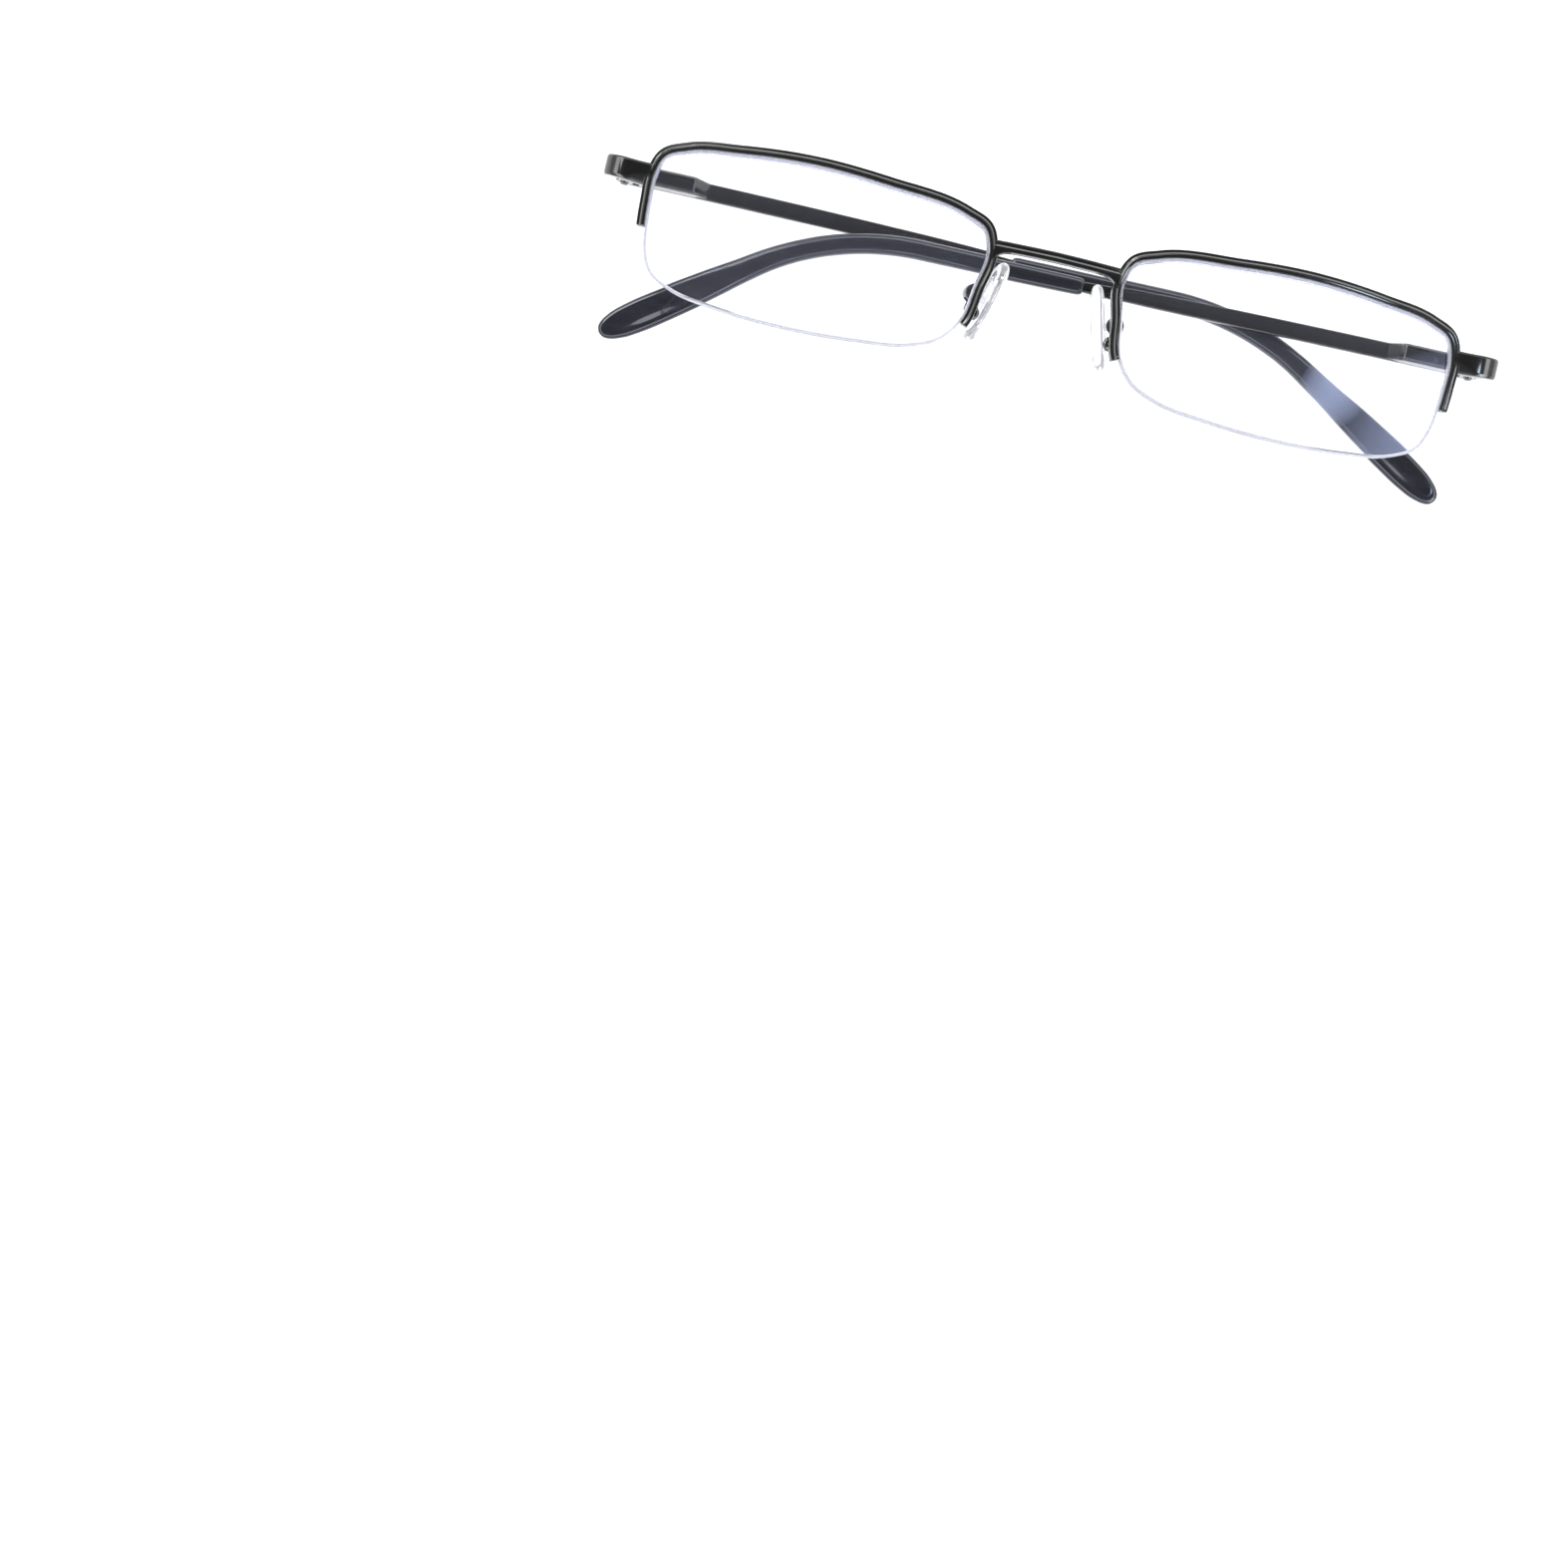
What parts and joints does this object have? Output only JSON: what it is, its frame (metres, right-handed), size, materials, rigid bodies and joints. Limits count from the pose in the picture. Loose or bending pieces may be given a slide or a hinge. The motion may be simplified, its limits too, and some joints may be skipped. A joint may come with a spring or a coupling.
{
  "type": "reading glasses",
  "caption": "Half-rim rectangular metal reading glasses with sprung folding temples, rocking nose pads and plastic ear tips, folded and lying face up.",
  "frame": {"origin": "under the middle of the glasses, on the plane they rest on, folded and face up", "axes": "+X towards the wearer's left temple, +Y up on the face, +Z out of the fronts of the lenses"},
  "size_m": [0.134, 0.0308, 0.0176],
  "materials": {
    "black_metal": "gloss black plated metal",
    "steel": "dark nickel-plated steel",
    "black_plastic": "polished black plastic",
    "lens_clear": "clear with a lavender coating",
    "nylon": "clear nylon",
    "silicone": "clear soft silicone"
  },
  "bodies": {
    "front_frame": {"bridge": "black_metal", "left_rim": "black_metal", "left_rim_liner": "nylon", "left_nylon_cord": "nylon", "left_lens": "lens_clear", "left_endpiece": "black_metal", "left_front_hinge": "steel", "left_hinge_screw": "steel", "left_pad_arm": "black_metal", "left_pad_box": "steel", "left_pad_screw": "steel", "right_rim": "black_metal", "right_rim_liner": "nylon", "right_nylon_cord": "nylon", "right_lens": "lens_clear", "right_endpiece": "black_metal", "right_front_hinge": "steel", "right_hinge_screw": "steel", "right_pad_arm": "black_metal", "right_pad_box": "steel", "right_pad_screw": "steel"},
    "left_hinge_eye": {"left_hinge_piston": "steel"},
    "left_temple_arm": {"left_temple": "black_metal", "left_spring_housing": "black_metal", "left_hinge_spring": "steel", "left_temple_tip": "black_plastic"},
    "left_pad_unit": {"left_nose_pad": "silicone", "left_pad_core": "nylon"},
    "right_hinge_eye": {"right_hinge_piston": "steel"},
    "right_temple_arm": {"right_temple": "black_metal", "right_spring_housing": "black_metal", "right_hinge_spring": "steel", "right_temple_tip": "black_plastic"},
    "right_pad_unit": {"right_nose_pad": "silicone", "right_pad_core": "nylon"}
  },
  "joints": [
    {"name": "left_temple_fold", "type": "hinge", "parent": "front_frame", "child": "left_hinge_eye", "pos_m": [0.0639, 0.00903, 0.00554], "axis": [0, -1, 0], "range_deg": [0, 90]},
    {"name": "left_spring_travel", "type": "slide", "parent": "left_hinge_eye", "child": "left_temple_arm", "axis": [-0.9997, -0.0174, 0.0183], "range_m": [0, 0.0012], "stiffness_N_per_m": 1000, "deforming": ["left_hinge_spring"]},
    {"name": "left_pad_rock", "type": "hinge", "parent": "front_frame", "child": "left_pad_unit", "pos_m": [0.01082, 0.00215, 0.01098], "axis": [-0.2017, -0.0503, 0.9781], "range_deg": [-8, 8]},
    {"name": "right_temple_fold", "type": "hinge", "parent": "front_frame", "child": "right_hinge_eye", "pos_m": [-0.0639, 0.00903, 0.00554], "axis": [0, 1, 0], "range_deg": [0, 90]},
    {"name": "right_spring_travel", "type": "slide", "parent": "right_hinge_eye", "child": "right_temple_arm", "axis": [0.9999, 0.0026, -0.0166], "range_m": [0, 0.0012], "stiffness_N_per_m": 1000, "deforming": ["right_hinge_spring"]},
    {"name": "right_pad_rock", "type": "hinge", "parent": "front_frame", "child": "right_pad_unit", "pos_m": [-0.01082, 0.00215, 0.01098], "axis": [0.2017, -0.0503, 0.9781], "range_deg": [-8, 8]}
  ]
}
